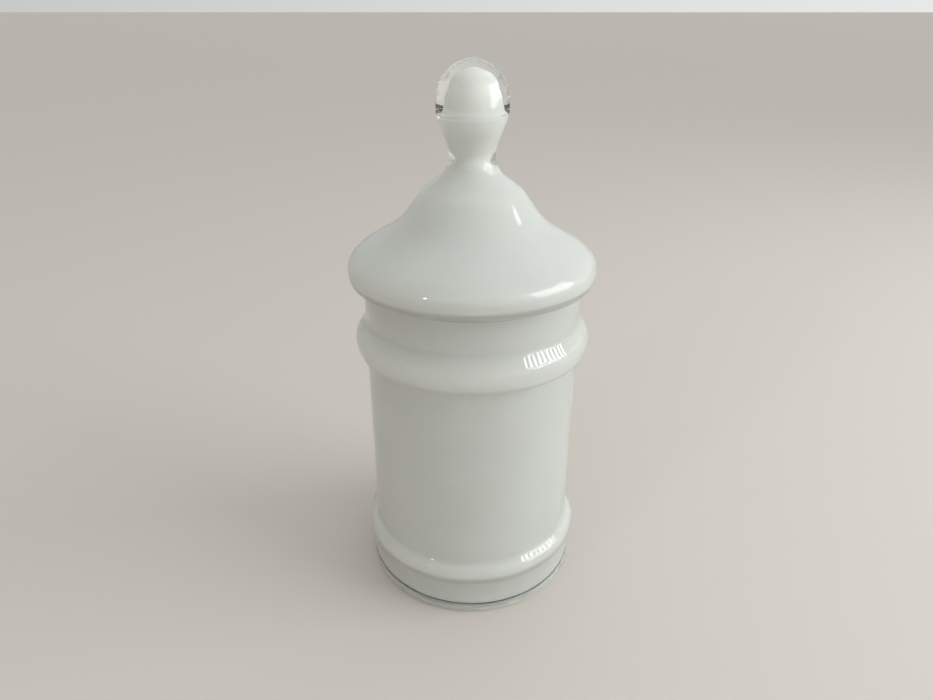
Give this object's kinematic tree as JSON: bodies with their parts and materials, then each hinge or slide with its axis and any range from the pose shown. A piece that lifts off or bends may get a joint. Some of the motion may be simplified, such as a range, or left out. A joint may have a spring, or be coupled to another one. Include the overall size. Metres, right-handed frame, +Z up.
{
  "type": "lidded glass vanity jar",
  "caption": "Round lidded jar of white opal glass cased in clear glass, with rolled rings on the body and a knobbed ogee lid that lifts off; holds cream, powder or cotton.",
  "frame": {"origin": "centre of the foot, on the surface that the jar stands on", "axes": "+Z up along the turning axis, from the foot to the knob; X and Y are free, because every layer is turned about Z"},
  "size_m": [0.1014, 0.1014, 0.2242],
  "materials": {
    "opal_glass": "smooth white opal glass, slightly green",
    "clear_glass": "fire-polished clear glass"
  },
  "bodies": {
    "jar": {"jar_clear_casing": "clear_glass", "jar_opal_body": "opal_glass"},
    "lid": {"lid_clear_casing": "clear_glass", "lid_opal_shell": "opal_glass"}
  },
  "joints": [
    {"name": "lid_lift", "type": "slide", "parent": "jar", "child": "lid", "axis": [0, 0, 1], "range_m": [0, 0.1]}
  ]
}
